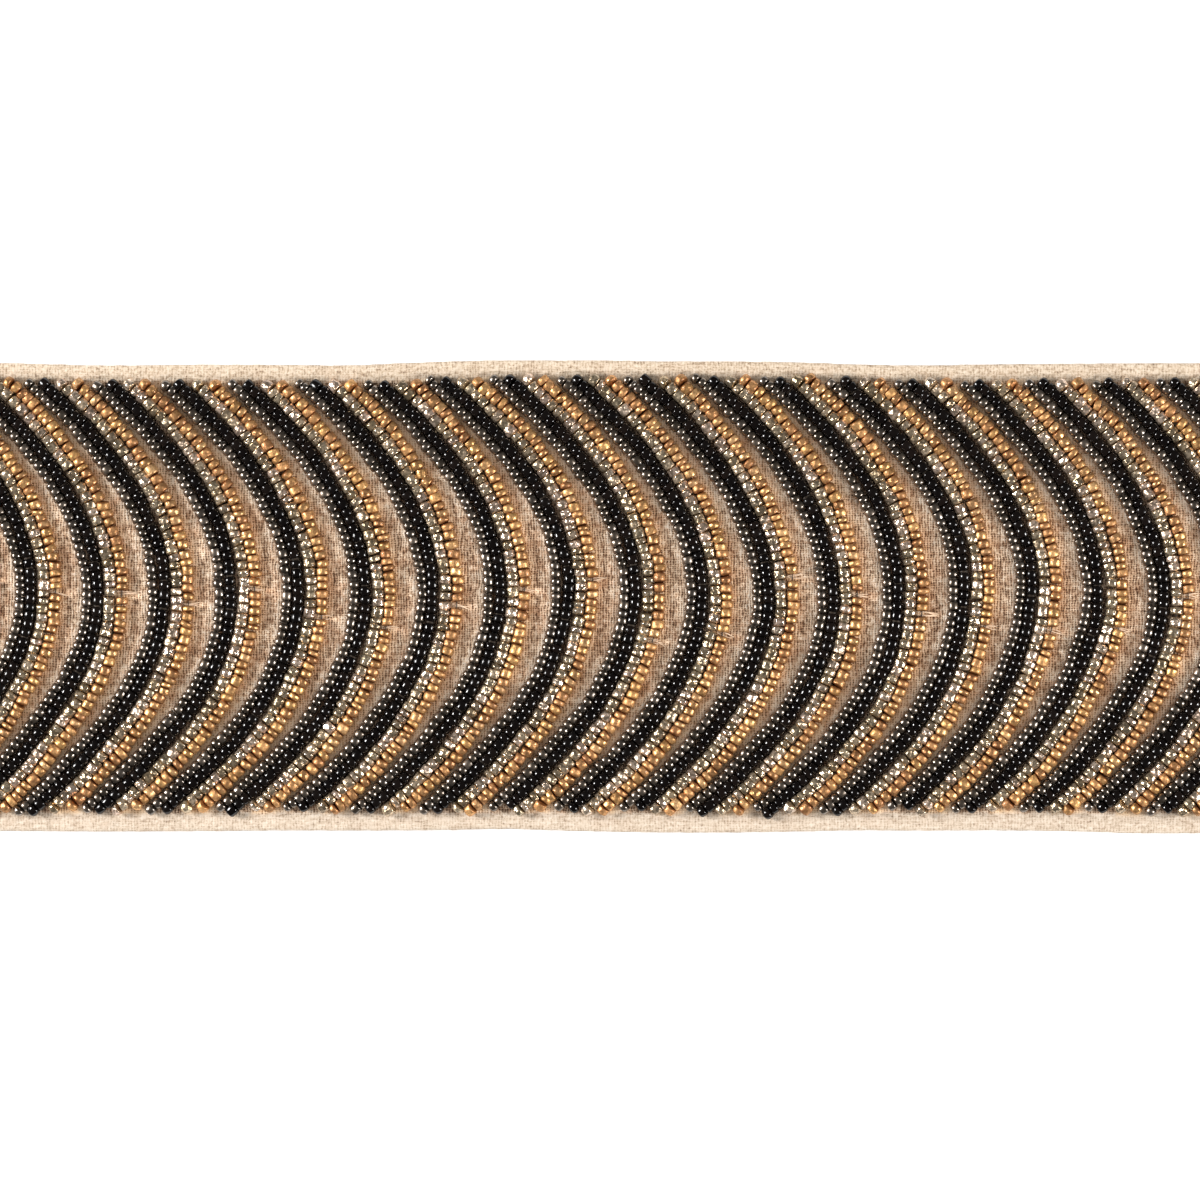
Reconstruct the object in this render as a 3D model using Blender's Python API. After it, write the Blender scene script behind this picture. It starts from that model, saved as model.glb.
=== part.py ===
"""Beaded tape: a cut length of hemmed linen tape with nested arcs of glass seed beads sewn on its face.

The tape lies flat with its back on the plane z = 0. +X runs along the tape, towards which the arcs
bulge, +Y runs across it and +Z is up, out of the beaded face. The origin is the middle of the back.
Two strands of beads that lie against each other, a dark pair or a bright pair, are one solid.
"""

import math

import bmesh
import bpy

MM = 0.001

# Tape
TAPE_LENGTH = 256 * MM
TAPE_WIDTH = 88.9 * MM
FIELD_THICK = 1.0 * MM
EDGE_WAVE = 0.5 * MM

# The two long edges wander in and out of the nominal width by EDGE_WAVE at most.
# along: place on the tape, from -1 at one cut end to 1 at the other.
# upper and lower: how far that edge stands out, as a share of EDGE_WAVE.
EDGE_TABLE = [
    dict(along=-1.0, upper=-0.10, lower=0.25),
    dict(along=-0.88, upper=-0.05, lower=0.05),
    dict(along=-0.74, upper=-0.90, lower=0.25),
    dict(along=-0.59, upper=-0.60, lower=0.10),
    dict(along=-0.45, upper=-0.75, lower=-0.15),
    dict(along=-0.375, upper=-0.90, lower=-0.10),
    dict(along=-0.30, upper=-0.15, lower=-0.15),
    dict(along=-0.22, upper=0.60, lower=-0.30),
    dict(along=-0.15, upper=1.00, lower=-0.70),
    dict(along=-0.06, upper=0.95, lower=-0.10),
    dict(along=0.0, upper=1.00, lower=0.25),
    dict(along=0.08, upper=0.65, lower=0.60),
    dict(along=0.19, upper=0.60, lower=0.65),
    dict(along=0.30, upper=0.20, lower=0.25),
    dict(along=0.375, upper=-0.50, lower=-0.15),
    dict(along=0.47, upper=-0.90, lower=-0.05),
    dict(along=0.59, upper=-0.50, lower=-0.15),
    dict(along=0.70, upper=-0.30, lower=0.20),
    dict(along=0.81, upper=-0.10, lower=1.00),
    dict(along=0.89, upper=-0.10, lower=0.95),
    dict(along=1.0, upper=0.00, lower=0.60),
]

# Section of the turned hem, from the sole round the fold to the field.
# inset: distance in from the tape's edge in mm; height: above the plane it lies on, in mm.
HEM_TABLE = [
    dict(inset=0.40, height=0.00),
    dict(inset=0.00, height=0.40),
    dict(inset=0.00, height=0.85),
    dict(inset=0.45, height=1.20),
    dict(inset=1.30, height=1.30),
    dict(inset=2.15, height=1.15),
    dict(inset=2.60, height=1.00),
]

# Bead field, the part of the face that carries beads
FIELD_TOP = 41.25 * MM
FIELD_BOTTOM = -40.9 * MM
END_MARGIN = 2 * MM
FIELD_END = TAPE_LENGTH / 2 - END_MARGIN
SEWN_GAP = 0.3 * MM

# Arc repeat. The black strand's line is
# x = apex - ARC_SWING * (1 - cos((y - ARC_MIDDLE) / ARC_REACH)) + ARC_LEAN * (y - ARC_MIDDLE).
ARC_PITCH = 12.66 * MM
FIRST_APEX = -120.7 * MM
ARC_COUNT = 22
ARC_SWING = 64.0 * MM
ARC_REACH = 45.4 * MM
ARC_MIDDLE = 0.3 * MM
ARC_LEAN = 0.02

# Slow drift of the sewn arcs off their even pitch.
# shift: how far; along and across: wave lengths; start: phase in radians.
DRIFT_TABLE = [
    dict(shift=0.45 * MM, along=230 * MM, across=900 * MM, start=1.16),
    dict(shift=0.18 * MM, along=96 * MM, across=61 * MM, start=0.4),
    dict(shift=0.12 * MM, along=71 * MM, across=37 * MM, start=2.3),
]

# Strands of one arc. offset: from the black strand's line, square to it; diameter: of the beads.
GUNMETAL = dict(offset=-2.15 * MM, diameter=1.85 * MM)
BLACK = dict(offset=0.05 * MM, diameter=1.95 * MM)
CLEAR = dict(offset=2.55 * MM, diameter=2.0 * MM)
GOLD = dict(offset=4.8 * MM, diameter=2.1 * MM)
PAIRS = {"dark_pair": (GUNMETAL, BLACK), "bright_pair": (CLEAR, GOLD)}
CROWD_GAP = 0.46 * MM

# Band solid of a pair. Its section has a crown over each strand and a valley between them.
BAND_STEPS = 18
SHOULDER_SHARE = 0.72
SHOULDER_IN = 0.10
VALLEY_SHARE = 0.70
OVERRUN = 6 * MM
SHORTEST_BAND = 4 * MM
CUT_TOLERANCE = 0.001 * MM
SHARP_ANGLE = math.radians(50)

FINISHES = {
    "linen": dict(colour=(0.57, 0.40, 0.25), rough=0.9, metal=0.0),
    "dark_pair": dict(colour=(0.02, 0.02, 0.022), rough=0.15, metal=0.0),
    "bright_pair": dict(colour=(0.42, 0.23, 0.08), rough=0.3, metal=0.9),
}


def clear_scene():
    for old in list(bpy.data.objects):
        bpy.data.objects.remove(old)


def make_material(name):
    finish = FINISHES[name]
    material = bpy.data.materials.new(name)
    material.use_nodes = True
    shader = material.node_tree.nodes["Principled BSDF"]
    shader.inputs["Base Color"].default_value = (*finish["colour"], 1)
    shader.inputs["Roughness"].default_value = finish["rough"]
    shader.inputs["Metallic"].default_value = finish["metal"]
    return material


def add_object(name, bm, material):
    bmesh.ops.recalc_face_normals(bm, faces=bm.faces)
    mesh = bpy.data.meshes.new(name)
    bm.to_mesh(mesh)
    bm.free()
    mesh.materials.append(material)
    mesh.shade_smooth()
    mesh.set_sharp_from_angle(angle=SHARP_ANGLE)
    made = bpy.data.objects.new(name, mesh)
    bpy.context.scene.collection.objects.link(made)


def loft(bm, sections):
    """Closed solid through rings of equal length, capped at both ends."""
    rings = [[bm.verts.new(point) for point in section] for section in sections]
    for ring, following in zip(rings, rings[1:]):
        for i, corner in enumerate(ring):
            after = (i + 1) % len(ring)
            bm.faces.new((corner, ring[after], following[after], following[i]))
    bm.faces.new(reversed(rings[0]))
    bm.faces.new(rings[-1])


def cloth_section(station):
    """One slice across the tape, from the lower hem's sole round to the upper hem's."""
    x = station["along"] * TAPE_LENGTH / 2
    upper = TAPE_WIDTH / 2 + station["upper"] * EDGE_WAVE
    lower = -TAPE_WIDTH / 2 - station["lower"] * EDGE_WAVE
    up = [(x, upper - p["inset"] * MM, p["height"] * MM) for p in HEM_TABLE]
    down = [(x, lower + p["inset"] * MM, p["height"] * MM) for p in HEM_TABLE]
    return down + up[::-1]


def build_cloth(material):
    bm = bmesh.new()
    loft(bm, [cloth_section(station) for station in EDGE_TABLE])
    add_object("ground_cloth", bm, material)


def drift(x, y):
    return sum(
        d["shift"] * math.cos(2 * math.pi * (x / d["along"] + y / d["across"]) - d["start"])
        for d in DRIFT_TABLE
    )


def arc_x(apex, y):
    """The black strand's line: its x at height y on the tape."""
    swing = ARC_SWING * (1 - math.cos((y - ARC_MIDDLE) / ARC_REACH))
    x = apex - swing + ARC_LEAN * (y - ARC_MIDDLE)
    return x + drift(x, y)


def arc_slope(apex, y):
    reach = 0.05 * MM
    return (arc_x(apex, y + reach) - arc_x(apex, y - reach)) / (2 * reach)


def crowding(apex, y):
    """How much the strands close up where the arcs slant and the pitch square to them is short."""
    here = arc_x(apex, y)
    behind = here - arc_x(apex - ARC_PITCH, y)
    ahead = arc_x(apex + ARC_PITCH, y) - here
    pitch = min(behind, ahead) / math.hypot(1, arc_slope(apex, y))
    span = GOLD["offset"] + GOLD["diameter"] / 2 - GUNMETAL["offset"] + GUNMETAL["diameter"] / 2
    return min(1, (pitch - CROWD_GAP) / span)


def band_profile(pair):
    """Two crowns side by side as (offset, height), from the inner foot round to the outer foot."""
    inner, outer = pair
    inner_edge = inner["offset"] - inner["diameter"] / 2
    outer_edge = outer["offset"] + outer["diameter"] / 2
    between = (inner["offset"] + outer["offset"]) / 2
    low = min(inner["diameter"], outer["diameter"])
    return [
        (inner_edge, 0),
        (inner_edge + SHOULDER_IN * inner["diameter"], SHOULDER_SHARE * inner["diameter"]),
        (inner["offset"], inner["diameter"]),
        (between, VALLEY_SHARE * low),
        (outer["offset"], outer["diameter"]),
        (outer_edge - SHOULDER_IN * outer["diameter"], SHOULDER_SHARE * outer["diameter"]),
        (outer_edge, 0),
    ]


def band_section(apex, y, profile):
    """The profile set square to the arc at height y on the tape."""
    slope = arc_slope(apex, y)
    length = math.hypot(1, slope)
    side = (1 / length, -slope / length)
    squeeze = crowding(apex, y)
    seat = FIELD_THICK + SEWN_GAP
    return [
        (
            arc_x(apex, y) + side[0] * offset * squeeze,
            y + side[1] * offset * squeeze,
            seat + height,
        )
        for offset, height in profile
    ]


def trim(bm, place, outward):
    """Cuts away what lies beyond a plane and closes the cut."""
    cut = bmesh.ops.bisect_plane(
        bm,
        geom=bm.verts[:] + bm.edges[:] + bm.faces[:],
        dist=CUT_TOLERANCE,
        plane_co=place,
        plane_no=outward,
        clear_outer=True,
    )
    edges = [e for e in cut["geom_cut"] if isinstance(e, bmesh.types.BMEdge)]
    if edges:
        bmesh.ops.holes_fill(bm, edges=edges)


def build_band(name, apex, pair, y_from, y_to, material):
    """One pair of strands along one arc, trimmed to the bead field. A scrap is left out."""
    profile = band_profile(pair)
    bm = bmesh.new()
    heights = [y_from + (y_to - y_from) * i / BAND_STEPS for i in range(BAND_STEPS + 1)]
    loft(bm, [band_section(apex, y, profile) for y in heights])
    trim(bm, (0, FIELD_TOP, 0), (0, 1, 0))
    trim(bm, (0, FIELD_BOTTOM, 0), (0, -1, 0))
    trim(bm, (FIELD_END, 0, 0), (1, 0, 0))
    trim(bm, (-FIELD_END, 0, 0), (-1, 0, 0))
    spread = [v.co.y for v in bm.verts]
    if spread and max(spread) - min(spread) >= SHORTEST_BAND:
        add_object(name, bm, material)


def build_bands(materials):
    """Every arc has a dark pair and a bright pair. An arc that bulges past the cut end is two runs."""
    top, bottom = FIELD_TOP + OVERRUN, FIELD_BOTTOM - OVERRUN
    for arc in range(ARC_COUNT):
        apex = FIRST_APEX + arc * ARC_PITCH
        for kind, pair in PAIRS.items():
            crown = arc_x(apex, ARC_MIDDLE) + pair[1]["offset"] + pair[1]["diameter"] / 2
            name = f"{kind}_{arc + 1:02d}"
            if crown < FIELD_END:
                build_band(name, apex, pair, bottom, top, materials[kind])
            else:
                build_band(name + "_upper", apex, pair, ARC_MIDDLE, top, materials[kind])
                build_band(name + "_lower", apex, pair, bottom, ARC_MIDDLE, materials[kind])


def main():
    clear_scene()
    materials = {name: make_material(name) for name in FINISHES}
    build_cloth(materials["linen"])
    build_bands(materials)


main()
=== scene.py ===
"""Looks of the beaded tape: every bead, the thread that holds it down and the woven linen under it.

All lengths are in metres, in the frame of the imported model: +X along the tape, +Y across it, +Z up.
Each strand of beads is one piece. Two strands, side by side, stand for each pair solid of the model.
"""

import math

import bpy
import numpy as np
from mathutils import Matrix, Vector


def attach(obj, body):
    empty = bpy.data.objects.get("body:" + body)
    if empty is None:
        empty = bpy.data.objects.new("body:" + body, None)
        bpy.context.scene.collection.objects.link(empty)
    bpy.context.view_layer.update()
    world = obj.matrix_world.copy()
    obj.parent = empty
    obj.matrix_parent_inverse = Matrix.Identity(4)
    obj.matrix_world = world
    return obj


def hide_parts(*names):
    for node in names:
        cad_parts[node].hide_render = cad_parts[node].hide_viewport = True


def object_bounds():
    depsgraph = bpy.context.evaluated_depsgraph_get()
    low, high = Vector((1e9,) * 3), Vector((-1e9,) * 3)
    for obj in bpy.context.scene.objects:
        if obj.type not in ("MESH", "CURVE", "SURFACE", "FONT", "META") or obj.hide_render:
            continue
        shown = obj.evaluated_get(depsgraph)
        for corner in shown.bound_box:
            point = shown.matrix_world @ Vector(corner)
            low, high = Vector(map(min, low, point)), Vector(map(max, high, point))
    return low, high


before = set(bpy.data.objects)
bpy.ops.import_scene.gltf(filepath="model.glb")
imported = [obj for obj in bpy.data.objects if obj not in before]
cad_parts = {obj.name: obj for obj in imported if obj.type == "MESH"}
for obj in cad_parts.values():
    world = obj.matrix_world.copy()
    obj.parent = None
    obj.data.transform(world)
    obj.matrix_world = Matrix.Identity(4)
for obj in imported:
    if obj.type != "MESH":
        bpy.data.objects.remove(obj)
cad_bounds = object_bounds()

MM = 0.001
SEED = 4107

# Photograph: its width on the object, and the place on the object that its middle shows
VIEW_WIDTH = 227.7 * MM
VIEW_MIDDLE_Y = -0.59 * MM
LENS_MM = 150
SENSOR_MM = 36

# Tape
TAPE_LENGTH = 256 * MM
TAPE_WIDTH = 88.9 * MM
FIELD_THICK = 1.0 * MM
EDGE_WAVE = 0.5 * MM
FIELD_TOP = 41.25 * MM
FIELD_BOTTOM = -40.9 * MM
FIELD_END = 126 * MM

# The two long edges wander in and out of the nominal width, as in the model's source. along: place
# as a share of half the length; upper and lower: how far that edge stands out, as a share of EDGE_WAVE.
EDGE_TABLE = [
    dict(along=-1.0, upper=-0.10, lower=0.25),
    dict(along=-0.88, upper=-0.05, lower=0.05),
    dict(along=-0.74, upper=-0.90, lower=0.25),
    dict(along=-0.59, upper=-0.60, lower=0.10),
    dict(along=-0.45, upper=-0.75, lower=-0.15),
    dict(along=-0.375, upper=-0.90, lower=-0.10),
    dict(along=-0.30, upper=-0.15, lower=-0.15),
    dict(along=-0.22, upper=0.60, lower=-0.30),
    dict(along=-0.15, upper=1.00, lower=-0.70),
    dict(along=-0.06, upper=0.95, lower=-0.10),
    dict(along=0.0, upper=1.00, lower=0.25),
    dict(along=0.08, upper=0.65, lower=0.60),
    dict(along=0.19, upper=0.60, lower=0.65),
    dict(along=0.30, upper=0.20, lower=0.25),
    dict(along=0.375, upper=-0.50, lower=-0.15),
    dict(along=0.47, upper=-0.90, lower=-0.05),
    dict(along=0.59, upper=-0.50, lower=-0.15),
    dict(along=0.70, upper=-0.30, lower=0.20),
    dict(along=0.81, upper=-0.10, lower=1.00),
    dict(along=0.89, upper=-0.10, lower=0.95),
    dict(along=1.0, upper=0.00, lower=0.60),
]

# Arc repeat, as in the model's source. DRIFT_TABLE: slow waves that carry the arcs off an even pitch.
# Its last row and ARC_SHIFT are finer than the solids and move the strands by half a millimetre.
ARC_PITCH = 12.66 * MM
FIRST_APEX = -120.7 * MM
ARC_SWING = 64.0 * MM
ARC_REACH = 45.4 * MM
ARC_MIDDLE = 0.3 * MM
ARC_LEAN = 0.02
ARC_SHIFT = 0.13 * MM
DRIFT_TABLE = [
    dict(shift=0.45 * MM, along=230 * MM, across=900 * MM, start=1.16),
    dict(shift=0.18 * MM, along=96 * MM, across=61 * MM, start=0.4),
    dict(shift=0.12 * MM, along=71 * MM, across=37 * MM, start=2.3),
    dict(shift=0.5 * MM, along=300 * MM, across=900 * MM, start=-0.84),
]
CROWD_GAP = 0.46 * MM
BUNDLE_WIDTH = 8.92 * MM

# Strands of one arc, lengths in mm. offset: from the black strand's line; length: of a bead along its
# strand; spread: how much bead lengths vary; shake: how far a bead strays sideways; turn: degrees a
# bead is turned off its strand; square: share of square-shouldered form; break_gap: bare thread
# where the two runs of a strand meet.
STRANDS = {
    "gunmetal": dict(
        offset=-2.14, diameter=2.16, length=1.43, spread=0.10, shake=0.06, turn=5, square=0.2, break_gap=0.3
    ),
    "black": dict(
        offset=0.0, diameter=2.32, length=1.58, spread=0.10, shake=0.04, turn=4, square=0.45, break_gap=0.3
    ),
    "crystal": dict(
        offset=2.48, diameter=2.42, length=1.57, spread=0.18, shake=0.06, turn=6, square=0.75, break_gap=0.35
    ),
    "gold": dict(
        offset=4.64, diameter=2.44, length=1.50, spread=0.15, shake=0.09, turn=8, square=0.45, break_gap=1.0
    ),
}
PAIR_STRANDS = {"dark": ("gunmetal", "black"), "bright": ("crystal", "gold")}

# Bead forms: rings on one half of the bead as (place along it from 0 to 1, share of its radius)
ROUND_FORM = [(0.40, 0.985), (0.84, 0.82), (1.0, 0.50)]
SQUARE_FORM = [(0.74, 0.99), (0.95, 0.92), (1.0, 0.76)]
BEAD_SIDES = 12
BEAD_SEAT = FIELD_THICK - 0.03 * MM
BEAD_GAP = 0.03 * MM
END_REACH = 0.62 * MM
UPPER_MARGIN = 3.3 * MM
LOWER_MARGIN = 3.95 * MM
CUT_MARGIN = 0.95 * MM
END_TILT = math.radians(24)

# Sewing
THREAD_WIDTH = 0.22 * MM
STITCH_EVERY = (7, 20)
STITCH_GAP = 0.2 * MM


def drift(x, y):
    return sum(
        d["shift"] * np.cos(2 * math.pi * (x / d["along"] + y / d["across"]) - d["start"])
        for d in DRIFT_TABLE
    )


def arc_x(apex, y):
    """The black strand's line: its x at height y on the tape."""
    swing = ARC_SWING * (1 - np.cos((y - ARC_MIDDLE) / ARC_REACH))
    x = apex + ARC_SHIFT - swing + ARC_LEAN * (y - ARC_MIDDLE)
    return x + drift(x, y)


def strand_line(apex, offset):
    """Points along one strand's line from below the bead field to above it, and the distance along it."""
    y = np.arange(FIELD_BOTTOM - 4 * MM, FIELD_TOP + 4 * MM, 0.2 * MM)
    x = arc_x(apex, y)
    slope = np.gradient(x, y)
    stretch = np.hypot(1, slope)
    pitch = np.minimum(x - arc_x(apex - ARC_PITCH, y), arc_x(apex + ARC_PITCH, y) - x) / stretch
    squeeze = np.minimum(1, (pitch - CROWD_GAP) / BUNDLE_WIDTH)
    line = np.stack([x + offset * squeeze / stretch, y - offset * squeeze * slope / stretch], axis=1)
    steps = np.hypot(*np.diff(line, axis=0).T)
    return line, np.concatenate([[0], np.cumsum(steps)])


def wander(rng, places, size, waves):
    """A smooth random curve along a strand, about size high, with one random wave for each length."""
    total = np.zeros_like(places)
    for wave in waves:
        phase = rng.uniform(0, 2 * math.pi)
        total += rng.uniform(0.5, 1) * np.sin(2 * math.pi * places / (wave * rng.uniform(0.8, 1.25)) + phase)
    return size * total / len(waves)


def unit_bead(half_rings):
    """Unit bead along X: points as (along, side, up) and faces. Radius and half length are 1."""
    points, faces = [], []
    rings = [(-along, share) for along, share in half_rings[::-1]] + half_rings
    for along, share in rings:
        for i in range(BEAD_SIDES):
            angle = 2 * math.pi * i / BEAD_SIDES
            points.append((along, share * math.cos(angle), share * math.sin(angle)))
    for ring in range(len(rings) - 1):
        for i in range(BEAD_SIDES):
            a = ring * BEAD_SIDES + i
            b = ring * BEAD_SIDES + (i + 1) % BEAD_SIDES
            faces.append((a, b, b + BEAD_SIDES, a + BEAD_SIDES))
    last = (len(rings) - 1) * BEAD_SIDES
    faces.append(tuple(range(BEAD_SIDES))[::-1])
    faces.append(tuple(range(last, last + BEAD_SIDES)))
    return np.array(points), faces


ROUND_BEAD, BEAD_FACES = unit_bead(ROUND_FORM)
SQUARE_BEAD = unit_bead(SQUARE_FORM)[0]
# Painted shade in the creases where beads meet: its share on each ring of a bead, full at the two ends
RING_CREASE_SHADE = (1.0, 0.75, 0.0, 0.0, 0.75, 1.0)


def plan_steps(rng, shape, room, break_share):
    """Bead lengths and the bare thread after each, for a strand that fills its room from end to end."""
    lengths, bare, total = [], [], 0.0
    until_stitch = int(rng.integers(*STITCH_EVERY))
    broken = False
    while total < room:
        lengths.append(shape["length"] * MM * max(0.68, 1 + shape["spread"] * rng.normal()))
        until_stitch -= 1
        gap = 0.0
        if not broken and total > break_share * room:
            broken = True
            gap = shape["break_gap"] * MM * rng.uniform(0.5, 1.35)
        elif until_stitch <= 0:
            until_stitch = int(rng.integers(*STITCH_EVERY))
            gap = STITCH_GAP * rng.uniform(0.5, 1.5)
        bare.append(gap)
        total += lengths[-1] + BEAD_GAP + gap
    fit = room / (total - bare[-1])
    return np.array(lengths) * fit, np.array(bare) * fit


def strand_ends(rng, line):
    """Lowest and highest y of a strand's bead middles: a margin in from the tape's edges."""
    edges = edge_lines(np.clip(line[[0, -1], 0], -TAPE_LENGTH / 2, TAPE_LENGTH / 2))
    low = edges[0][0] + LOWER_MARGIN + END_REACH + 0.28 * MM * rng.normal()
    high = edges[1][1] - UPPER_MARGIN - END_REACH + 0.15 * MM * rng.normal()
    return low, high


def lay_beads(rng, strand, apex, keep):
    """Beads of one strand: where each lies, how it is turned and its size. Stitches lie in bare spots."""
    shape = STRANDS[strand]
    line, along = strand_line(apex, shape["offset"] * MM)
    side_step = wander(rng, along, 0.26 * MM, (34 * MM, 17 * MM, 9 * MM))
    low, high = strand_ends(rng, line)
    start, finish = (float(np.interp(y, line[:, 1], along)) for y in (low, high))
    half = shape["length"] * MM / 2
    middle = (rng.uniform(-11, 1) if strand == "gold" else rng.uniform(-7, 5)) * MM
    break_share = (float(np.interp(middle, line[:, 1], along)) - start) / (finish - start)
    lengths, bare = plan_steps(rng, shape, finish - start + 2 * half, break_share)
    ends = np.cumsum(lengths + BEAD_GAP + bare)
    beads, stitches = [], []
    for length, gap, end in zip(lengths, bare, ends):
        place = start - half + end - gap - length / 2
        x, y = (float(np.interp(place, along, line[:, k])) for k in (0, 1))
        ahead = [float(np.interp(place + 0.5 * MM, along, line[:, k])) for k in (0, 1)]
        heading = math.atan2(ahead[1] - y, ahead[0] - x)
        shift = float(np.interp(place, along, side_step)) + shape["shake"] * MM * rng.normal()
        radius = shape["diameter"] * MM / 2 * (1 + 0.035 * rng.normal())
        centre = (x + math.sin(heading) * shift, y - math.cos(heading) * shift)
        bead = dict(
            centre=(*centre, BEAD_SEAT + radius + 0.05 * MM * rng.normal()),
            heading=heading + math.radians(shape["turn"]) * rng.normal(),
            tilt=math.radians(0.8 * shape["turn"]) * rng.normal(),
            half=length / 2,
            radius=radius,
            square=min(1, max(0, shape["square"] + 0.35 * rng.normal())),
            roll=rng.uniform(0, 2 * math.pi),
            tint=(rng.uniform(), rng.uniform(), rng.uniform()),
        )
        if keep(*centre):
            beads.append(bead)
            if gap:
                centre = (centre[0] + math.cos(heading) * (length + gap) / 2,
                          centre[1] + math.sin(heading) * (length + gap) / 2)
                stitches.append(dict(centre=centre, heading=heading, radius=radius, gap=gap))
    for end, sign in ((0, -1), (-1, 1)):
        if beads:
            beads[end]["tilt"] += sign * END_TILT * rng.uniform(0.5, 1.3)
    return beads, stitches


def turn_bead(bead):
    """World points of one bead."""
    c, s = math.cos(bead["roll"]), math.sin(bead["roll"])
    unit = ROUND_BEAD + bead["square"] * (SQUARE_BEAD - ROUND_BEAD)
    p = unit * (bead["half"], bead["radius"], bead["radius"])
    p = np.stack([p[:, 0], c * p[:, 1] - s * p[:, 2], s * p[:, 1] + c * p[:, 2]], axis=1)
    c, s = math.cos(-bead["tilt"]), math.sin(-bead["tilt"])
    p = np.stack([c * p[:, 0] - s * p[:, 2], p[:, 1], s * p[:, 0] + c * p[:, 2]], axis=1)
    c, s = math.cos(bead["heading"]), math.sin(bead["heading"])
    p = np.stack([c * p[:, 0] - s * p[:, 1], s * p[:, 0] + c * p[:, 1], p[:, 2]], axis=1)
    return p + np.array(bead["centre"])


def add_piece(name, points, faces, material, smooth=True):
    mesh = bpy.data.meshes.new(name)
    mesh.from_pydata([tuple(p) for p in points], [], faces)
    mesh.materials.append(material)
    if smooth:
        mesh.shade_smooth()
    piece = bpy.data.objects.new(name, mesh)
    bpy.context.scene.collection.objects.link(piece)
    return piece


def add_strand(name, beads, material):
    points = np.concatenate([turn_bead(b) for b in beads])
    count = len(ROUND_BEAD)
    faces = [tuple(k + i * count for k in face) for i in range(len(beads)) for face in BEAD_FACES]
    piece = add_piece(name, points, faces, material)
    tint = piece.data.color_attributes.new("bead_tint", "FLOAT_COLOR", "POINT")
    colours = np.repeat([(*b["tint"], 1) for b in beads], count, axis=0)
    tint.data.foreach_set("color", colours.ravel())
    # Painted crease shade: how much each point of a bead darkens where it meets the next bead
    crease_shade = piece.data.attributes.new("bead_crease_shade", "FLOAT", "POINT")
    crease_shade.data.foreach_set("value", np.tile(np.repeat(RING_CREASE_SHADE, BEAD_SIDES), len(beads)))
    return piece


def tube(points, width, sides=5):
    """Points and faces of a thin tube along a path, its ends closed."""
    path = np.array(points)
    ways = np.gradient(path, axis=0)
    ways /= np.linalg.norm(ways, axis=1, keepdims=True)
    across = np.cross(ways, (0.31, 0.17, 0.93))
    across /= np.linalg.norm(across, axis=1, keepdims=True)
    upward = np.cross(across, ways)
    made, faces = [], []
    for i in range(sides):
        angle = 2 * math.pi * i / sides
        made.append(path + width / 2 * (math.cos(angle) * across + math.sin(angle) * upward))
    made = np.stack(made, axis=1).reshape(-1, 3)
    for k in range(len(path) - 1):
        for i in range(sides):
            a, b = k * sides + i, k * sides + (i + 1) % sides
            faces.append((a, b, b + sides, a + sides))
    last = (len(path) - 1) * sides
    faces.append(tuple(range(sides))[::-1])
    faces.append(tuple(range(last, last + sides)))
    return made, faces


class Joined:
    """Many small meshes gathered into one piece."""

    def __init__(self):
        self.points, self.faces, self.count = [], [], 0

    def add(self, points, faces):
        self.points.append(points)
        self.faces += [tuple(k + self.count for k in face) for face in faces]
        self.count += len(points)

    def piece(self, name, material):
        return add_piece(name, np.concatenate(self.points), self.faces, material)


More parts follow.
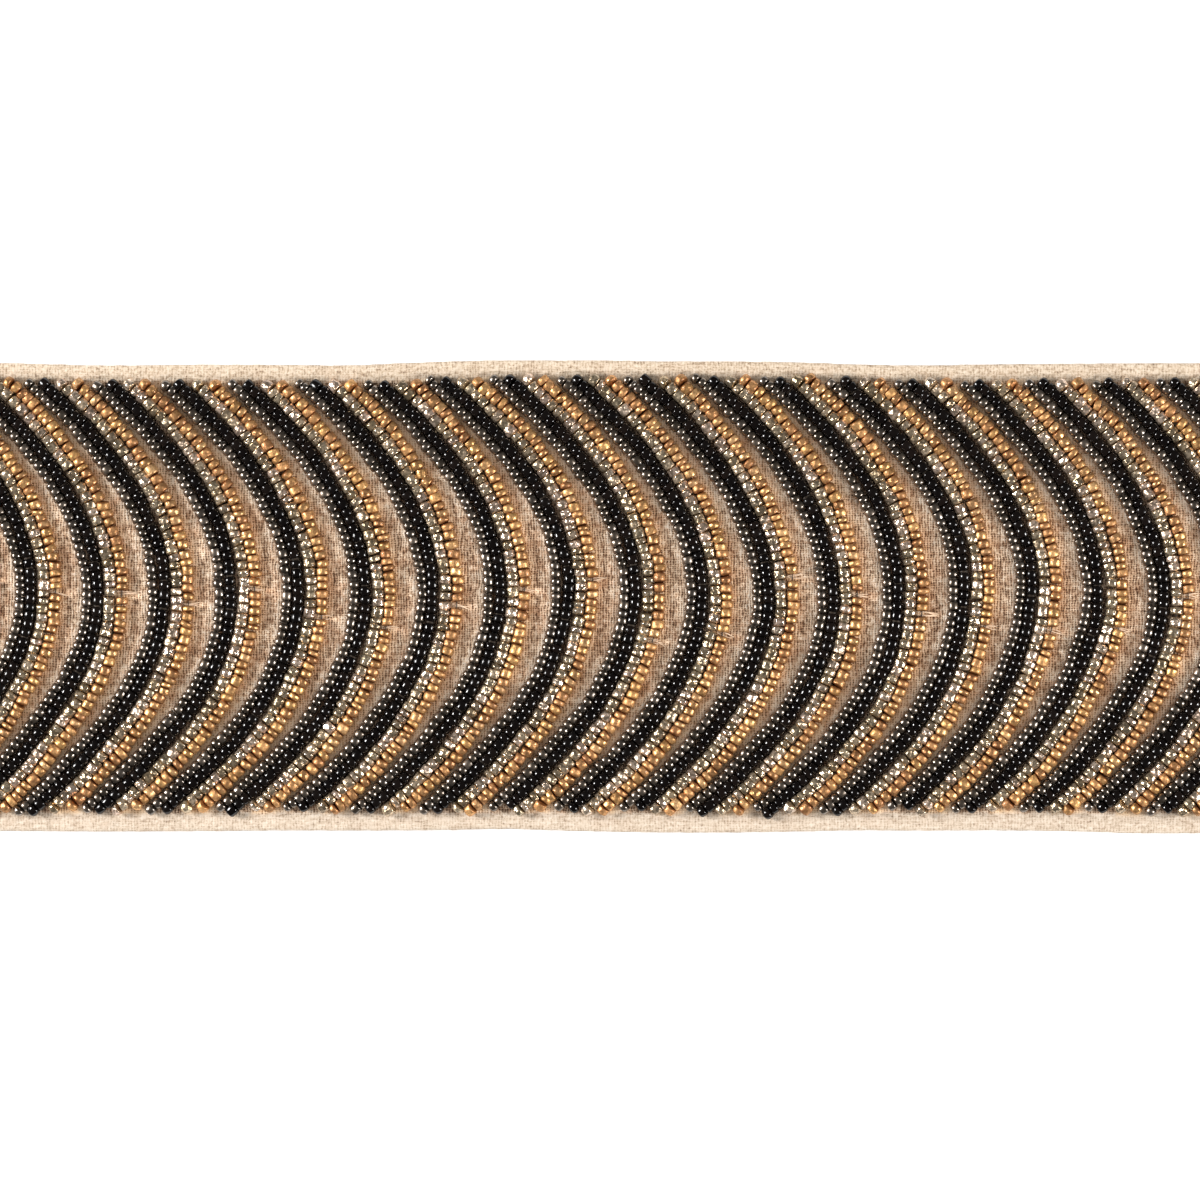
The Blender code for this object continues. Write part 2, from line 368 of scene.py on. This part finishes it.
class Graph:
    """A material's node tree, built with short calls. A value is a number, a colour or a socket."""

    def __init__(self, name):
        self.material = bpy.data.materials.new(name)
        self.material.use_nodes = True
        self.tree = self.material.node_tree
        self.tree.nodes.clear()
        self.shader = self.tree.nodes.new("ShaderNodeBsdfPrincipled")
        output = self.tree.nodes.new("ShaderNodeOutputMaterial")
        self.tree.links.new(self.shader.outputs["BSDF"], output.inputs["Surface"])

    def put(self, socket, value):
        if isinstance(value, bpy.types.NodeSocket):
            self.tree.links.new(value, socket)
        else:
            socket.default_value = value

    def surface(self, **values):
        for name, value in values.items():
            self.put(self.shader.inputs[name.replace("_", " ")], value)

    def math(self, operation, a, b=0.0):
        node = self.tree.nodes.new("ShaderNodeMath")
        node.operation = operation
        self.put(node.inputs[0], a)
        self.put(node.inputs[1], b)
        return node.outputs[0]

    def vector(self, operation, a, b):
        node = self.tree.nodes.new("ShaderNodeVectorMath")
        node.operation = operation
        self.put(node.inputs[0], a)
        self.put(node.inputs[1], b)
        return node.outputs[0]

    def place(self):
        """Place on the object, in millimetres."""
        node = self.tree.nodes.new("ShaderNodeTexCoord")
        return self.vector("MULTIPLY", node.outputs["Object"], (1 / MM, 1 / MM, 1 / MM))

    def split(self, vector):
        node = self.tree.nodes.new("ShaderNodeSeparateXYZ")
        self.put(node.inputs[0], vector)
        return node.outputs

    def noise(self, vector, scale, detail=2.0, rough=0.5, colour=False):
        node = self.tree.nodes.new("ShaderNodeTexNoise")
        self.put(node.inputs["Vector"], vector)
        self.put(node.inputs["Scale"], scale)
        self.put(node.inputs["Detail"], detail)
        self.put(node.inputs["Roughness"], rough)
        return node.outputs["Color" if colour else "Fac"]

    def ramp(self, value, stops):
        node = self.tree.nodes.new("ShaderNodeValToRGB")
        self.put(node.inputs[0], value)
        elements = node.color_ramp.elements
        while len(elements) < len(stops):
            elements.new(0.5)
        for element, (place, colour) in zip(elements, stops):
            element.position = place
            element.color = (*colour, 1)
        return node.outputs["Color"]

    def mix(self, share, first, second, kind="MIX"):
        node = self.tree.nodes.new("ShaderNodeMix")
        node.data_type = "RGBA"
        node.blend_type = kind
        self.put(node.inputs["Factor"], share)
        self.put(node.inputs[6], first)
        self.put(node.inputs[7], second)
        return node.outputs[2]

    def spread(self, value, low, high, to_low, to_high):
        """Value from low to high, carried to to_low and to_high, and held there."""
        node = self.tree.nodes.new("ShaderNodeMapRange")
        for socket, number in zip(node.inputs, (value, low, high, to_low, to_high)):
            self.put(socket, number)
        return node.outputs[0]

    def bump(self, height, strength, distance):
        node = self.tree.nodes.new("ShaderNodeBump")
        self.put(node.inputs["Strength"], strength)
        self.put(node.inputs["Distance"], distance)
        self.put(node.inputs["Height"], height)
        return node.outputs[0]

    def attribute(self, name, output):
        node = self.tree.nodes.new("ShaderNodeAttribute")
        node.attribute_name = name
        return node.outputs[output]

    def tint(self):
        return self.split(self.attribute("bead_tint", "Vector"))

    def paint_crease_shade(self, colour, shade):
        """Painted shade in the creases where beads meet: the colour deepens there to its product with shade."""
        place = self.math("MULTIPLY", self.attribute("bead_crease_shade", "Fac"), 0.9)
        return self.mix(place, colour, self.mix(1.0, colour, (*shade, 1), "MULTIPLY"))


YARN_PITCH_MM = 0.55
# Tones of the linen between the strands, far lighter than the hem's: painted light that makes up for the light the
# strands keep from the gaps
FIELD_LIT_TONES = [
    (0.0, (0.15, 0.085, 0.05)),
    (0.3, (0.50, 0.33, 0.215)),
    (0.6, (0.83, 0.64, 0.47)),
    (0.9, (0.98, 0.84, 0.70)),
]
HEM_TONES = [
    (0.0, (0.17, 0.12, 0.085)),
    (0.3, (0.37, 0.285, 0.21)),
    (0.6, (0.54, 0.445, 0.35)),
    (0.9, (0.625, 0.54, 0.45)),
]


def linen_material():
    g = Graph("linen")
    place = g.place()
    spot_y = g.split(place)[1]
    hem = g.spread(g.math("ABSOLUTE", spot_y), 40.5, 41.3, 0, 1)
    bend = g.noise(place, 0.4, 2, colour=True)
    x, y, z = g.split(g.vector("ADD", place, g.vector("MULTIPLY", bend, (0.9, 0.8, 0))))
    turn = math.pi / YARN_PITCH_MM
    column = g.math("ABSOLUTE", g.math("SINE", g.math("MULTIPLY", x, turn)))
    row = g.math("ABSOLUTE", g.math("SINE", g.math("MULTIPLY", y, turn * 1.25)))
    hole = g.math("MULTIPLY", g.math("SUBTRACT", 1.0, column), g.math("SUBTRACT", 1.45, row))
    hole = g.math("ADD", hole, g.math("MULTIPLY", g.math("SUBTRACT", 1.0, row), 0.15))
    hole = g.math("MULTIPLY", hole, g.math("SUBTRACT", 0.62, g.math("MULTIPLY", hem, 0.36)))
    warp = g.noise(g.vector("MULTIPLY", place, (1.9, 0.42, 1)), 1.0, 3, 0.6)
    weft = g.noise(g.vector("MULTIPLY", place, (0.35, 2.0, 1)), 1.0, 3, 0.6)
    open_weave = g.spread(g.noise(place, 1.1, 2, 0.7), 0.36, 0.64, 0.45, 1.35)
    fleck = g.noise(place, 1.7, 2, 0.75)
    height = g.math("SUBTRACT", 0.66, g.math("MULTIPLY", hole, open_weave))
    upright = g.math("SUBTRACT", 1.1, g.math("MULTIPLY", hem, 0.7))
    height = g.math("ADD", height, g.math("MULTIPLY", g.math("SUBTRACT", warp, 0.5), upright))
    level_way = g.math("ADD", 0.5, g.math("MULTIPLY", hem, 0.3))
    height = g.math("ADD", height, g.math("MULTIPLY", g.math("SUBTRACT", weft, 0.5), level_way))
    strength = g.math("ADD", 1.45, g.math("MULTIPLY", hem, 0.4))
    strength = g.math("SUBTRACT", strength, g.spread(spot_y, -42.0, -41.2, 0.6, 0))
    level = g.math("ADD", height, g.math("MULTIPLY", g.math("SUBTRACT", fleck, 0.5), strength))
    cloud = g.math("MULTIPLY", g.math("SUBTRACT", g.noise(place, 0.8, 2), 0.5), 0.7)
    level = g.math("ADD", level, g.math("MULTIPLY", cloud, g.math("SUBTRACT", 1.0, hem)))
    level = g.math("ADD", level, g.math("MULTIPLY", g.math("SUBTRACT", hem, 1.0), 0.2))
    # Painted light: the cloth is lighter right beside the dark strands and beside the gold strands
    level = g.math("ADD", level, g.math("MULTIPLY", g.attribute("painted_light_by_dark", "Fac"), 0.5))
    level = g.math("ADD", level, g.math("MULTIPLY", g.attribute("painted_bounce_by_gold", "Fac"), 0.32))
    colour = g.mix(hem, g.ramp(level, FIELD_LIT_TONES), g.ramp(level, HEM_TONES))
    blotch = g.spread(g.noise(place, 0.36, 3, 0.65), 0.44, 0.66, 0, 0.7)
    blotch = g.math("MULTIPLY", blotch, g.math("SUBTRACT", 1.0, g.math("MULTIPLY", hem, 0.8)))
    colour = g.mix(blotch, colour, g.mix(1.0, colour, (0.70, 0.54, 0.44, 1), "MULTIPLY"))
    upper_shade = g.mix(1.0, colour, (0.98, 0.96, 0.92, 1), "MULTIPLY")
    colour = g.mix(g.spread(spot_y, 40.0, 41.5, 0, 1), colour, upper_shade)
    # Painted reflection: warm light from the gold beads tinting the cloth beside them
    gold_bounce_share = g.math("MULTIPLY", g.attribute("painted_bounce_by_gold", "Fac"), 0.9)
    colour = g.mix(gold_bounce_share, colour, g.mix(1.0, colour, (1.0, 0.86, 0.66, 1), "MULTIPLY"))
    slack = g.noise(place, 0.45, 2, 0.5)
    g.surface(Base_Color=colour, Roughness=0.85, Sheen_Weight=0.1, Sheen_Roughness=0.5, Specular_IOR_Level=0.2)
    g.surface(Normal=g.bump(g.math("ADD", height, g.math("MULTIPLY", slack, 4.0)), 0.8, 0.16 * MM))
    return g.material


def gold_material():
    g = Graph("gold_beads")
    hue, depth, gloss = g.tint()
    colour = g.ramp(
        hue,
        [
            (0.0, (0.71, 0.38, 0.165)),
            (0.2, (0.77, 0.43, 0.185)),
            (0.55, (0.82, 0.48, 0.205)),
            (0.8, (0.78, 0.46, 0.18)),
            (1.0, (0.92, 0.59, 0.29)),
        ],
    )
    place = g.place()
    patch = g.noise(place, 1.9, 2, 0.6)
    shade = g.math("MULTIPLY", g.spread(depth, 0, 1, 0.55, 1.0), g.spread(patch, 0.36, 0.62, 0.6, 1.1))
    colour = g.mix(1.0, colour, g.ramp(shade, [(0, (0.10, 0, 0)), (1, (1, 1, 1))]), "MULTIPLY")
    # Painted shade in the creases between the gold beads
    colour = g.paint_crease_shade(colour, (0.50, 0.34, 0.22))
    g.surface(Base_Color=colour, Metallic=0.75, Roughness=g.spread(gloss, 0, 1, 0.36, 0.56))
    g.surface(Coat_Weight=0.3, Coat_Roughness=0.15)
    g.surface(Normal=g.bump(g.noise(place, 1.6, 2), 0.8, 0.2 * MM))
    return g.material


def black_material():
    g = Graph("black_beads")
    hue, depth, gloss = g.tint()
    colour = g.ramp(
        hue,
        [(0, (0.003, 0.002, 0.002)), (0.6, (0.005, 0.0035, 0.003)), (1, (0.008, 0.005, 0.004))],
    )
    g.surface(Base_Color=colour, Roughness=g.spread(gloss, 0, 1, 0.10, 0.22), IOR=1.5)
    g.surface(Normal=g.bump(g.noise(g.place(), 0.9, 1), 0.25, 0.1 * MM))
    return g.material


def gunmetal_material():
    g = Graph("gunmetal_beads")
    hue, depth, gloss = g.tint()
    colour = g.ramp(
        hue,
        [
            (0, (0.12, 0.095, 0.07)),
            (0.4, (0.22, 0.175, 0.135)),
            (0.75, (0.17, 0.14, 0.115)),
            (1, (0.33, 0.265, 0.21)),
        ],
    )
    # Painted shade in the creases between the gunmetal beads
    colour = g.paint_crease_shade(colour, (0.42, 0.38, 0.34))
    g.surface(Base_Color=colour, Metallic=0.9, Roughness=g.spread(gloss, 0, 1, 0.28, 0.42), IOR=1.5)
    g.surface(Coat_Weight=1.0, Coat_Roughness=0.13, Coat_IOR=1.7)
    g.surface(Normal=g.bump(g.noise(g.place(), 1.3, 2), 0.35, 0.12 * MM))
    return g.material


def crystal_material():
    g = Graph("crystal_beads")
    hue, depth, gloss = g.tint()
    colour = g.ramp(
        hue,
        [
            (0, (0.52, 0.39, 0.24)),
            (0.3, (0.78, 0.61, 0.44)),
            (0.6, (0.64, 0.52, 0.36)),
            (0.8, (0.88, 0.66, 0.53)),
            (1, (0.94, 0.76, 0.60)),
        ],
    )
    place = g.place()
    patch = g.noise(place, 1.5, 1, 0.5)
    colour = g.mix(g.spread(patch, 0.44, 0.58, 0, 0.7), colour, (0.22, 0.17, 0.11, 1))
    shade = g.spread(depth, 0, 1, 0.62, 1.0)
    colour = g.mix(1.0, colour, g.ramp(shade, [(0, (0.04, 0.03, 0)), (1, (1, 1, 1))]), "MULTIPLY")
    # Painted shade, warm, in the creases between the crystal beads
    colour = g.paint_crease_shade(colour, (0.88, 0.78, 0.60))
    g.surface(Base_Color=colour, Metallic=0.76, Roughness=g.spread(gloss, 0, 1, 0.18, 0.38))
    g.surface(Coat_Weight=0.7, Coat_Roughness=0.06)
    g.surface(Normal=g.bump(g.noise(place, 1.15, 1, 0.5), 1.0, 0.42 * MM))
    return g.material


THREAD_TONES = [(0.3, (0.02, 0.016, 0.012)), (0.7, (0.08, 0.06, 0.045))]
COTTON_TONES = [(0.3, (0.66, 0.47, 0.32)), (0.7, (0.90, 0.70, 0.52))]


def thread_material(name, tones, rough):
    g = Graph(name)
    twist = g.noise(g.vector("MULTIPLY", g.place(), (3, 3, 3)), 1.0, 2)
    g.surface(Base_Color=g.ramp(twist, tones), Roughness=rough, Specular_IOR_Level=0.25)
    g.surface(Normal=g.bump(twist, 0.5, 0.05 * MM))
    return g.material


def floor_material():
    g = Graph("floor")
    shade = g.noise(g.place(), 0.02, 2)
    g.surface(Base_Color=g.ramp(shade, [(0, (0.90, 0.90, 0.90)), (1, (0.93, 0.93, 0.93))]), Roughness=0.8)
    return g.material


def edge_lines(xs):
    """The tape's two long edges at the stations xs: the lowest and the highest y."""
    places = np.array([row["along"] for row in EDGE_TABLE]) * TAPE_LENGTH / 2
    low = -TAPE_WIDTH / 2 - np.array([row["lower"] for row in EDGE_TABLE]) * EDGE_WAVE
    high = TAPE_WIDTH / 2 + np.array([row["upper"] for row in EDGE_TABLE]) * EDGE_WAVE
    return smooth_through(xs, places, low), smooth_through(xs, places, high)


def smooth_through(x, xs, ys):
    """Catmull-Rom curve through the stations."""
    slopes = np.gradient(ys, xs)
    k = np.clip(np.searchsorted(xs, x) - 1, 0, len(xs) - 2)
    span = xs[k + 1] - xs[k]
    t = (x - xs[k]) / span
    return (
        ys[k] * (1 + 2 * t) * (1 - t) ** 2
        + slopes[k] * span * t * (1 - t) ** 2
        + ys[k + 1] * t * t * (3 - 2 * t)
        + slopes[k + 1] * span * t * t * (t - 1)
    )


# Hem section from the sole round the fold to the field: inset from the edge and height, in mm
HEM_SECTION = [(1.2, 0.0), (0.45, 0.0), (0.16, 0.10), (0.03, 0.32), (0.0, 0.6), (0.06, 0.85), (0.24, 1.05), (0.6, 1.2),
               (1.1, 1.27), (1.6, 1.27), (2.1, 1.18), (2.5, 1.05), (2.9, 0.99)]
CLOTH_STEP = 0.8 * MM
SOLE_COUNT = 10
GAP_RISE = 0.46 * MM
# How far the painted light beside the gold and the dark strands reaches into the cloth between them
PAINTED_LIGHT_REACH = 0.8 * MM
STRAND_EDGES = (-3.15 * MM, 5.85 * MM)


def gap_forms(x, y):
    """How far the cloth swells between two arcs, and how near it is to the gold and the dark strand
    at the gap's two sides, where 1 is right beside it: the masks of the painted light and painted reflection on the
    cloth beside those strands."""
    rise, gold, dark = np.zeros_like(x), np.zeros_like(x), np.zeros_like(x)
    for arc in range(-2, 26):
        apex = FIRST_APEX + arc * ARC_PITCH
        here, ahead = arc_x(apex, y), arc_x(apex + ARC_PITCH, y)
        slope = (arc_x(apex, y + 0.05 * MM) - arc_x(apex, y - 0.05 * MM)) / (0.1 * MM)
        stretch = np.hypot(1, slope)
        start = here + STRAND_EDGES[1] * stretch
        width = np.maximum(ahead + STRAND_EDGES[0] * stretch - start, 0.01 * MM)
        share = np.clip((x - start) / width, 0, 1)
        height = GAP_RISE * np.minimum(1, width / stretch / (2.2 * MM))
        rise += height * np.sin(math.pi * share**1.8) ** 0.5
        away = (x - start) / stretch
        gold = np.maximum(gold, np.where(away > -3 * MM, np.exp(-np.maximum(away, 0) / PAINTED_LIGHT_REACH), 0))
        away = (start + width - x) / stretch
        dark = np.maximum(dark, np.where(away > -1 * MM, np.exp(-np.maximum(away, 0) / PAINTED_LIGHT_REACH), 0))
    return rise, gold, dark


def ripples(rng, x, y, count, size, wave_range):
    """Sum of a few slanting waves: the slack of the cloth."""
    total = np.zeros_like(x)
    for _ in range(count):
        way, wave, start = rng.uniform(0, math.pi), rng.uniform(*wave_range), rng.uniform(0, 6.28)
        total += size * np.sin(2 * math.pi * (x * math.cos(way) + y * math.sin(way)) / wave + start)
    return total


def build_tape(material):
    rng = np.random.default_rng(SEED)
    xs = np.linspace(-TAPE_LENGTH / 2, TAPE_LENGTH / 2, int(TAPE_LENGTH / CLOTH_STEP) + 1)
    low, high = edge_lines(xs)
    low = low + wander(rng, xs, 0.07 * MM, (9 * MM, 5 * MM, 3.1 * MM))
    high = high + wander(rng, xs, 0.07 * MM, (9 * MM, 5 * MM, 3.1 * MM))
    low, high = np.maximum(low, cad_bounds[0][1]), np.minimum(high, cad_bounds[1][1])
    inset, height = np.array(HEM_SECTION).T * MM
    down_y = low[:, None] + inset
    up_y = high[:, None] - inset[::-1]
    share = np.linspace(0, 1, int((TAPE_WIDTH - 6 * MM) / CLOTH_STEP) + 1)[1:-1]
    field_y = down_y[:, -1:] * (1 - share) + up_y[:, :1] * share
    share = np.linspace(0, 1, SOLE_COUNT + 1)[1:-1]
    sole_y = up_y[:, -1:] * (1 - share) + down_y[:, :1] * share
    field_x = np.repeat(xs[:, None], field_y.shape[1], axis=1)
    slack = ripples(rng, field_x, field_y, 12, 0.035 * MM, (4 * MM, 12 * MM))
    # beside: masks of the painted light beside the gold and the dark strands
    rise, *beside = gap_forms(field_x, field_y)
    field_z = FIELD_THICK - 0.08 * MM + slack + rise
    hem_x = np.repeat(xs[:, None], len(inset), axis=1)
    lift = np.clip(height / (1.2 * MM), 0, 1) ** 2
    down_z = height + lift * ripples(rng, hem_x, down_y, 6, 0.03 * MM, (4 * MM, 14 * MM))
    up_z = (height + lift * ripples(rng, hem_x, up_y[:, ::-1], 6, 0.03 * MM, (4 * MM, 14 * MM)))[:, ::-1]
    y = np.concatenate([down_y, field_y, up_y, sole_y], axis=1)
    z = np.concatenate([down_z, field_z, up_z, np.zeros_like(sole_y)], axis=1)
    x = np.repeat(xs[:, None], y.shape[1], axis=1)
    count = y.shape[1]
    faces = []
    for k in range(len(xs) - 1):
        for i in range(count):
            a, b = k * count + i, k * count + (i + 1) % count
            faces.append((a, a + count, b + count, b))
    last = (len(xs) - 1) * count
    faces.append(tuple(range(count)))
    faces.append(tuple(range(last, last + count))[::-1])
    points = np.stack([x, y, z], axis=2).reshape(-1, 3)
    tape = add_piece("linen_tape", points, faces, material)
    tape.data.set_sharp_from_angle(angle=math.radians(60))
    # The painted light masks, kept on the cloth between the strands
    for name, values in zip(("painted_bounce_by_gold", "painted_light_by_dark"), beside):
        near = np.zeros_like(x)
        near[:, len(inset) : len(inset) + field_y.shape[1]] = values
        tape.data.attributes.new(name, "FLOAT", "POINT").data.foreach_set("value", near.ravel())
    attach(tape, "root")
    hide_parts("ground_cloth")


def stitch_over(stitch, slide):
    """A thread loop over the strand, in the crease between two beads, down into the cloth on both sides."""
    c, s = math.cos(stitch["heading"]), math.sin(stitch["heading"])
    x, y = stitch["centre"][0] + c * slide, stitch["centre"][1] + s * slide
    reach = stitch["radius"] * 0.78
    arc = [math.radians(a) for a in (-12, 18, 48, 75, 105, 132, 162, 192)]
    base = BEAD_SEAT + stitch["radius"] * 0.7
    return [(x + s * reach * math.cos(a), y - c * reach * math.cos(a), base + reach * math.sin(a)) for a in arc]


def add_stitch(thread, rng, stitch):
    """One to three loops, side by side, as wide as the bare spot between the beads."""
    loops = 1 + int(stitch["gap"] > 0.16 * MM) + int(stitch["gap"] > 0.24 * MM)
    for k in range(min(loops, 3)):
        slide = (k - (loops - 1) / 2) * 0.12 * MM + 0.02 * MM * rng.normal()
        thread.add(*tube(stitch_over(stitch, slide), THREAD_WIDTH * rng.uniform(0.55, 0.85), 4))


def add_break(cotton, rng, stitch):
    """Ends of the sewing thread at a wide break: they leave the strand and lie on the bare cloth."""
    for _ in range(int(rng.integers(2, 5))):
        way = stitch["heading"] - math.pi / 2 + rng.uniform(-0.22, 0.22)
        c, s = math.cos(way), math.sin(way)
        slide = rng.uniform(-0.35, 0.35) * MM
        x = stitch["centre"][0] + math.cos(stitch["heading"]) * slide
        y = stitch["centre"][1] + math.sin(stitch["heading"]) * slide
        reach, bow = rng.uniform(2.4, 4.6) * MM, rng.uniform(-0.3, 0.3) * MM
        path = []
        for share in np.linspace(0, 1, 8):
            run = -1.1 * MM + share * reach
            side = bow * math.sin(math.pi * share)
            height = FIELD_THICK + (1.05 * (1 - share) ** 1.5 + 0.32 * math.sin(math.pi * share) - 0.02) * MM
            path.append((x + c * run - s * side, y + s * run + c * side, height))
        cotton.add(*tube(path, rng.uniform(0.15, 0.27) * MM, 5))


def build_strands():
    paints = {
        "gunmetal": gunmetal_material(),
        "black": black_material(),
        "crystal": crystal_material(),
        "gold": gold_material(),
    }
    thread, cotton = Joined(), Joined()
    for node in sorted(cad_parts):
        if "_pair_" not in node:
            continue
        kind, _, number, *part = node.split("_")
        apex = FIRST_APEX + (int(number) - 1) * ARC_PITCH
        reach = FIELD_END - CUT_MARGIN

        def keep(x, y, part=part):
            if abs(x) > reach:
                return False
            return not part or (y > ARC_MIDDLE) == (part[0] == "upper")

        for strand in PAIR_STRANDS[kind]:
            rng = np.random.default_rng([SEED, int(number), list(STRANDS).index(strand)])
            beads, stitches = lay_beads(rng, strand, apex, keep)
            if len(beads) < 2:
                continue
            name = "_".join([strand, "strand", number, *part])
            piece = add_strand(name, beads, paints[strand])
            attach(piece, "root")
            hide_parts(node)
            thread.add(*tube([b["centre"] for b in beads], THREAD_WIDTH, 4))
            for stitch in stitches:
                if strand == "gold" and stitch["gap"] > 0.4 * MM:
                    add_break(cotton, rng, stitch)
                elif kind == "dark":
                    add_stitch(thread, rng, stitch)
    for made, name, paint in (
        (thread, "sewing_thread", thread_material("thread", THREAD_TONES, 0.35)),
        (cotton, "loose_thread", thread_material("loose_thread", COTTON_TONES, 0.8)),
    ):
        piece = made.piece(name, paint)
        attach(piece, "root")


def build_stage():
    mesh = bpy.data.meshes.new("floor")
    half, under = 3.0, -0.05 * MM
    corners = [(-half, -half, under), (half, -half, under), (half, half, under), (-half, half, under)]
    mesh.from_pydata(corners, [], [(0, 1, 2, 3)])
    mesh.materials.append(floor_material())
    floor = bpy.data.objects.new("floor", mesh)
    bpy.context.scene.collection.objects.link(floor)


LIGHT_ZENITH = math.radians(60)
LIGHT_TURN = math.radians(9.5)
LIGHT_DISTANCE = 1.1
LIGHT_SIZE = 0.39
ROOM_FILL = 0.7
ROOM_MIRRORED = 0.05


def add_light(name, side, brightness):
    """A round soft light, low on one side of the tape. side is -1 for the left and 1 for the right."""
    lamp = bpy.data.lights.new(name, "AREA")
    lamp.shape = "DISK"
    lamp.size = LIGHT_SIZE
    lamp.energy = brightness
    light = bpy.data.objects.new(name, lamp)
    flat = math.sin(LIGHT_ZENITH) * LIGHT_DISTANCE
    light.location = (
        side * flat * math.cos(LIGHT_TURN),
        -side * flat * math.sin(LIGHT_TURN),
        math.cos(LIGHT_ZENITH) * LIGHT_DISTANCE,
    )
    light.rotation_euler = (-light.location).to_track_quat("-Z", "Y").to_euler()
    bpy.context.scene.collection.objects.link(light)


def build_lights():
    add_light("light_left", -1, 15.5)
    add_light("light_right", 1, 11.0)
    world = bpy.data.worlds.new("studio")
    world.use_nodes = True
    back = world.node_tree.nodes["Background"]
    back.inputs["Color"].default_value = (1, 1, 1, 1)
    rays = world.node_tree.nodes.new("ShaderNodeLightPath")
    level = world.node_tree.nodes.new("ShaderNodeMapRange")
    level.inputs["To Min"].default_value = ROOM_FILL
    level.inputs["To Max"].default_value = ROOM_MIRRORED
    world.node_tree.links.new(rays.outputs["Is Glossy Ray"], level.inputs["Value"])
    world.node_tree.links.new(level.outputs["Result"], back.inputs["Strength"])
    bpy.context.scene.world = world
    bpy.context.scene.view_settings.view_transform = "Standard"
    bpy.context.scene.view_settings.gamma = 0.93
    bpy.context.scene.view_settings.exposure = 0.06


def build_camera():
    data = bpy.data.cameras.new("camera")
    data.lens = LENS_MM
    data.sensor_width = SENSOR_MM
    data.clip_start = 0.05
    data.clip_end = 20
    camera = bpy.data.objects.new("camera", data)
    distance = VIEW_WIDTH * LENS_MM / SENSOR_MM
    bead_level = 2 * MM
    camera.location = (0, VIEW_MIDDLE_Y, bead_level + distance)
    bpy.context.scene.collection.objects.link(camera)
    bpy.context.scene.camera = camera


build_camera()
build_tape(linen_material())
build_strands()
build_stage()
build_lights()
